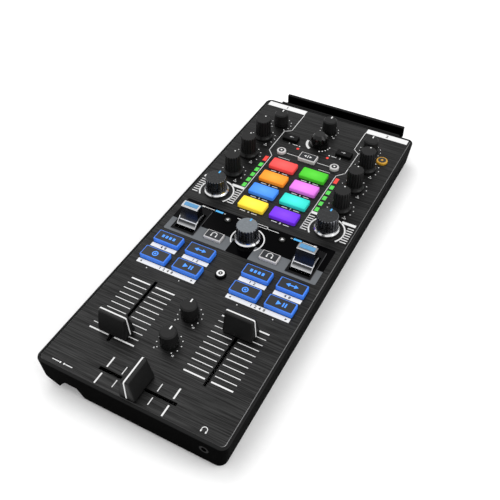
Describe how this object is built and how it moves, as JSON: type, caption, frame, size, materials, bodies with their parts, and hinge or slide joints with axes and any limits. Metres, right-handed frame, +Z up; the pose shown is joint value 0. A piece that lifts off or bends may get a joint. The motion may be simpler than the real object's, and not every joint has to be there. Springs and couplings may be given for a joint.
{
  "type": "dj mixer",
  "caption": "Slim portable mixer with line faders and a crossfader, tone and filter knobs, coloured pads, transport buttons, effect paddles and a phone rest at its rear edge.",
  "frame": {"origin": "bottom centre of the bounding box, on the surface that the feet stand on", "axes": "+X to the user's right, +Y from the user towards the phone rest, +Z up"},
  "size_m": [0.1298, 0.317, 0.0393],
  "materials": {
    "case_black": "fine moulded grain",
    "panel_brushed": "black anodised, hairline brushed",
    "plate_gloss": "polished black",
    "rest_black": "fine moulded grain",
    "feet_rubber": "soft matte",
    "board_green": "solder mask",
    "pot_metal": "plain",
    "switch_black": "plain",
    "light_clear": "translucent, lit",
    "socket_dark": "plain",
    "screw_steel": "black oxide",
    "knob_rubber": "soft touch",
    "knob_chrome": "polished, dark grey top",
    "browse_gloss": "polished",
    "fader_black": "soft touch, white line",
    "deck_blue": "translucent sides, dark printed top",
    "button_black": "polished",
    "button_white": "white rim, dark top",
    "button_amber": "amber rim, dark top",
    "paddle_chrome": "polished frame, dark insert",
    "lever_black": "plain",
    "pad_left_4": "translucent silicone, lit from below",
    "pad_left_3": "translucent silicone, lit from below",
    "pad_left_2": "translucent silicone, lit from below",
    "pad_left_1": "translucent silicone, lit from below",
    "pad_right_4": "translucent silicone, lit from below",
    "pad_right_3": "translucent silicone, lit from below",
    "pad_right_2": "translucent silicone, lit from below",
    "pad_right_1": "translucent silicone, lit from below"
  },
  "bodies": {
    "base": {"bottom_case": "case_black", "top_panel": "panel_brushed", "effects_plate": "plate_gloss", "phone_rest": "rest_black", "rubber_feet": "feet_rubber", "main_board": "board_green", "potentiometers": "pot_metal", "switches": "switch_black", "lights": "light_clear", "sockets": "socket_dark", "screws": "screw_steel"},
    "line_fader_left": {"line_fader_left": "fader_black"},
    "line_fader_right": {"line_fader_right": "fader_black"},
    "crossfader": {"crossfader": "fader_black"},
    "tone_knob_low_left": {"tone_knob_low_left": "knob_rubber"},
    "tone_knob_mid_left": {"tone_knob_mid_left": "knob_rubber"},
    "tone_knob_high_left": {"tone_knob_high_left": "knob_rubber"},
    "filter_knob_left": {"filter_knob_left": "knob_chrome"},
    "gain_knob_left": {"gain_knob_left": "knob_rubber"},
    "tone_knob_low_right": {"tone_knob_low_right": "knob_rubber"},
    "tone_knob_mid_right": {"tone_knob_mid_right": "knob_rubber"},
    "tone_knob_high_right": {"tone_knob_high_right": "knob_rubber"},
    "filter_knob_right": {"filter_knob_right": "knob_chrome"},
    "gain_knob_right": {"gain_knob_right": "knob_rubber"},
    "cue_volume_knob": {"cue_volume_knob": "knob_rubber"},
    "cue_mix_knob": {"cue_mix_knob": "knob_rubber"},
    "master_knob": {"master_knob": "knob_rubber"},
    "effect_depth_knob": {"effect_depth_knob": "knob_chrome"},
    "browse_stem": {"browse_stem": "pot_metal"},
    "browse_knob": {"browse_knob": "browse_gloss"},
    "pad_left_1": {"pad_left_1": "pad_left_1"},
    "pad_left_2": {"pad_left_2": "pad_left_2"},
    "pad_left_3": {"pad_left_3": "pad_left_3"},
    "pad_left_4": {"pad_left_4": "pad_left_4"},
    "deck_button_left_front_inner": {"deck_button_left_front_inner": "deck_blue"},
    "deck_button_left_back_inner": {"deck_button_left_back_inner": "deck_blue"},
    "deck_button_left_front_outer": {"deck_button_left_front_outer": "deck_blue"},
    "deck_button_left_back_outer": {"deck_button_left_back_outer": "deck_blue"},
    "load_button_left": {"load_button_left": "button_black"},
    "ring_button_left": {"ring_button_left": "button_white"},
    "cue_button_left": {"cue_button_left": "button_white"},
    "select_button_left": {"select_button_left": "button_black"},
    "pad_right_1": {"pad_right_1": "pad_right_1"},
    "pad_right_2": {"pad_right_2": "pad_right_2"},
    "pad_right_3": {"pad_right_3": "pad_right_3"},
    "pad_right_4": {"pad_right_4": "pad_right_4"},
    "deck_button_right_front_inner": {"deck_button_right_front_inner": "deck_blue"},
    "deck_button_right_back_inner": {"deck_button_right_back_inner": "deck_blue"},
    "deck_button_right_front_outer": {"deck_button_right_front_outer": "deck_blue"},
    "deck_button_right_back_outer": {"deck_button_right_back_outer": "deck_blue"},
    "load_button_right": {"load_button_right": "button_black"},
    "ring_button_right": {"ring_button_right": "button_white"},
    "cue_button_right": {"cue_button_right": "button_white"},
    "select_button_right": {"select_button_right": "button_black"},
    "split_button": {"split_button": "button_white"},
    "shift_button": {"shift_button": "button_white"},
    "amber_button": {"amber_button": "button_amber"},
    "effect_paddle_left": {"effect_paddle_left": "paddle_chrome"},
    "effect_paddle_right": {"effect_paddle_right": "paddle_chrome"},
    "mono_switch": {"mono_switch": "lever_black"}
  },
  "joints": [
    {"name": "line_fader_left_slide", "type": "slide", "parent": "base", "child": "line_fader_left", "axis": [0, 1, 0], "range_m": [-0.0056, 0.0391]},
    {"name": "line_fader_right_slide", "type": "slide", "parent": "base", "child": "line_fader_right", "axis": [0, 1, 0], "range_m": [-0.0391, 0.0056]},
    {"name": "crossfader_slide", "type": "slide", "parent": "base", "child": "crossfader", "axis": [1, 0, 0], "range_m": [-0.0224, 0.0224]},
    {"name": "tone_knob_low_left_turn", "type": "hinge", "parent": "base", "child": "tone_knob_low_left", "pos_m": [-0.044, 0.0445, 0.0223], "axis": [0, 0, 1], "range_deg": [-140, 140]},
    {"name": "tone_knob_mid_left_turn", "type": "hinge", "parent": "base", "child": "tone_knob_mid_left", "pos_m": [-0.044, 0.0694, 0.0223], "axis": [0, 0, 1], "range_deg": [-140, 140]},
    {"name": "tone_knob_high_left_turn", "type": "hinge", "parent": "base", "child": "tone_knob_high_left", "pos_m": [-0.044, 0.0942, 0.0223], "axis": [0, 0, 1], "range_deg": [-140, 140]},
    {"name": "filter_knob_left_turn", "type": "hinge", "parent": "base", "child": "filter_knob_left", "pos_m": [-0.044, 0.0197, 0.0223], "axis": [0, 0, 1], "range_deg": [-140, 140]},
    {"name": "gain_knob_left_turn", "type": "hinge", "parent": "base", "child": "gain_knob_left", "pos_m": [-0.0387, 0.116, 0.0223], "axis": [0, 0, 1], "range_deg": [-140, 140]},
    {"name": "tone_knob_low_right_turn", "type": "hinge", "parent": "base", "child": "tone_knob_low_right", "pos_m": [0.044, 0.0445, 0.0223], "axis": [0, 0, 1], "range_deg": [-140, 140]},
    {"name": "tone_knob_mid_right_turn", "type": "hinge", "parent": "base", "child": "tone_knob_mid_right", "pos_m": [0.044, 0.0694, 0.0223], "axis": [0, 0, 1], "range_deg": [-140, 140]},
    {"name": "tone_knob_high_right_turn", "type": "hinge", "parent": "base", "child": "tone_knob_high_right", "pos_m": [0.044, 0.0942, 0.0223], "axis": [0, 0, 1], "range_deg": [-140, 140]},
    {"name": "filter_knob_right_turn", "type": "hinge", "parent": "base", "child": "filter_knob_right", "pos_m": [0.044, 0.0197, 0.0223], "axis": [0, 0, 1], "range_deg": [-140, 140]},
    {"name": "gain_knob_right_turn", "type": "hinge", "parent": "base", "child": "gain_knob_right", "pos_m": [0.0387, 0.116, 0.0223], "axis": [0, 0, 1], "range_deg": [-140, 140]},
    {"name": "cue_volume_knob_turn", "type": "hinge", "parent": "base", "child": "cue_volume_knob", "pos_m": [0, -0.0886, 0.0223], "axis": [0, 0, 1], "range_deg": [-140, 140]},
    {"name": "cue_mix_knob_turn", "type": "hinge", "parent": "base", "child": "cue_mix_knob", "pos_m": [0, -0.1119, 0.0223], "axis": [0, 0, 1], "range_deg": [-140, 140]},
    {"name": "master_knob_turn", "type": "hinge", "parent": "base", "child": "master_knob", "pos_m": [0, 0.1253, 0.0223], "axis": [0, 0, 1], "range_deg": [-140, 140]},
    {"name": "effect_depth_knob_turn", "type": "hinge", "parent": "base", "child": "effect_depth_knob", "pos_m": [0, -0.0142, 0.0223], "axis": [0, 0, 1], "range_deg": [-140, 140]},
    {"name": "browse_stem_press", "type": "slide", "parent": "base", "child": "browse_stem", "axis": [0, 0, -1], "range_m": [0, 0.0008], "stiffness_N_per_m": 1500},
    {"name": "browse_knob_turn", "type": "hinge", "parent": "browse_stem", "child": "browse_knob", "pos_m": [0, 0.1055, 0.0223], "axis": [0, 0, 1], "continuous": true},
    {"name": "pad_left_1_press", "type": "slide", "parent": "base", "child": "pad_left_1", "axis": [0, 0, -1], "range_m": [0, 0.0008], "stiffness_N_per_m": 1500},
    {"name": "pad_left_2_press", "type": "slide", "parent": "base", "child": "pad_left_2", "axis": [0, 0, -1], "range_m": [0, 0.0008], "stiffness_N_per_m": 1500},
    {"name": "pad_left_3_press", "type": "slide", "parent": "base", "child": "pad_left_3", "axis": [0, 0, -1], "range_m": [0, 0.0008], "stiffness_N_per_m": 1500},
    {"name": "pad_left_4_press", "type": "slide", "parent": "base", "child": "pad_left_4", "axis": [0, 0, -1], "range_m": [0, 0.0008], "stiffness_N_per_m": 1500},
    {"name": "deck_button_left_front_inner_press", "type": "slide", "parent": "base", "child": "deck_button_left_front_inner", "axis": [0, 0, -1], "range_m": [0, 0.0008], "stiffness_N_per_m": 1500},
    {"name": "deck_button_left_back_inner_press", "type": "slide", "parent": "base", "child": "deck_button_left_back_inner", "axis": [0, 0, -1], "range_m": [0, 0.0008], "stiffness_N_per_m": 1500},
    {"name": "deck_button_left_front_outer_press", "type": "slide", "parent": "base", "child": "deck_button_left_front_outer", "axis": [0, 0, -1], "range_m": [0, 0.0008], "stiffness_N_per_m": 1500},
    {"name": "deck_button_left_back_outer_press", "type": "slide", "parent": "base", "child": "deck_button_left_back_outer", "axis": [0, 0, -1], "range_m": [0, 0.0008], "stiffness_N_per_m": 1500},
    {"name": "load_button_left_press", "type": "slide", "parent": "base", "child": "load_button_left", "axis": [0, 0, -1], "range_m": [0, 0.0008], "stiffness_N_per_m": 1500},
    {"name": "ring_button_left_press", "type": "slide", "parent": "base", "child": "ring_button_left", "axis": [0, 0, -1], "range_m": [0, 0.0008], "stiffness_N_per_m": 1500},
    {"name": "cue_button_left_press", "type": "slide", "parent": "base", "child": "cue_button_left", "axis": [0, 0, -1], "range_m": [0, 0.0008], "stiffness_N_per_m": 1500},
    {"name": "select_button_left_press", "type": "slide", "parent": "base", "child": "select_button_left", "axis": [0, 0, -1], "range_m": [0, 0.0008], "stiffness_N_per_m": 1500},
    {"name": "pad_right_1_press", "type": "slide", "parent": "base", "child": "pad_right_1", "axis": [0, 0, -1], "range_m": [0, 0.0008], "stiffness_N_per_m": 1500},
    {"name": "pad_right_2_press", "type": "slide", "parent": "base", "child": "pad_right_2", "axis": [0, 0, -1], "range_m": [0, 0.0008], "stiffness_N_per_m": 1500},
    {"name": "pad_right_3_press", "type": "slide", "parent": "base", "child": "pad_right_3", "axis": [0, 0, -1], "range_m": [0, 0.0008], "stiffness_N_per_m": 1500},
    {"name": "pad_right_4_press", "type": "slide", "parent": "base", "child": "pad_right_4", "axis": [0, 0, -1], "range_m": [0, 0.0008], "stiffness_N_per_m": 1500},
    {"name": "deck_button_right_front_inner_press", "type": "slide", "parent": "base", "child": "deck_button_right_front_inner", "axis": [0, 0, -1], "range_m": [0, 0.0008], "stiffness_N_per_m": 1500},
    {"name": "deck_button_right_back_inner_press", "type": "slide", "parent": "base", "child": "deck_button_right_back_inner", "axis": [0, 0, -1], "range_m": [0, 0.0008], "stiffness_N_per_m": 1500},
    {"name": "deck_button_right_front_outer_press", "type": "slide", "parent": "base", "child": "deck_button_right_front_outer", "axis": [0, 0, -1], "range_m": [0, 0.0008], "stiffness_N_per_m": 1500},
    {"name": "deck_button_right_back_outer_press", "type": "slide", "parent": "base", "child": "deck_button_right_back_outer", "axis": [0, 0, -1], "range_m": [0, 0.0008], "stiffness_N_per_m": 1500},
    {"name": "load_button_right_press", "type": "slide", "parent": "base", "child": "load_button_right", "axis": [0, 0, -1], "range_m": [0, 0.0008], "stiffness_N_per_m": 1500},
    {"name": "ring_button_right_press", "type": "slide", "parent": "base", "child": "ring_button_right", "axis": [0, 0, -1], "range_m": [0, 0.0008], "stiffness_N_per_m": 1500},
    {"name": "cue_button_right_press", "type": "slide", "parent": "base", "child": "cue_button_right", "axis": [0, 0, -1], "range_m": [0, 0.0008], "stiffness_N_per_m": 1500},
    {"name": "select_button_right_press", "type": "slide", "parent": "base", "child": "select_button_right", "axis": [0, 0, -1], "range_m": [0, 0.0008], "stiffness_N_per_m": 1500},
    {"name": "split_button_press", "type": "slide", "parent": "base", "child": "split_button", "axis": [0, 0, -1], "range_m": [0, 0.0008], "stiffness_N_per_m": 1500},
    {"name": "shift_button_press", "type": "slide", "parent": "base", "child": "shift_button", "axis": [0, 0, -1], "range_m": [0, 0.0008], "stiffness_N_per_m": 1500},
    {"name": "amber_button_press", "type": "slide", "parent": "base", "child": "amber_button", "axis": [0, 0, -1], "range_m": [0, 0.0008], "stiffness_N_per_m": 1500},
    {"name": "effect_paddle_left_tip", "type": "hinge", "parent": "base", "child": "effect_paddle_left", "pos_m": [-0.0443, -0.0145, 0.0168], "axis": [1, 0, 0], "range_deg": [-12, 12], "stiffness_Nm_per_rad": 0.4},
    {"name": "effect_paddle_right_tip", "type": "hinge", "parent": "base", "child": "effect_paddle_right", "pos_m": [0.0443, -0.0145, 0.0168], "axis": [1, 0, 0], "range_deg": [-12, 12], "stiffness_Nm_per_rad": 0.4},
    {"name": "mono_switch_slide", "type": "slide", "parent": "base", "child": "mono_switch", "axis": [1, 0, 0], "range_m": [0, 0.003]}
  ]
}
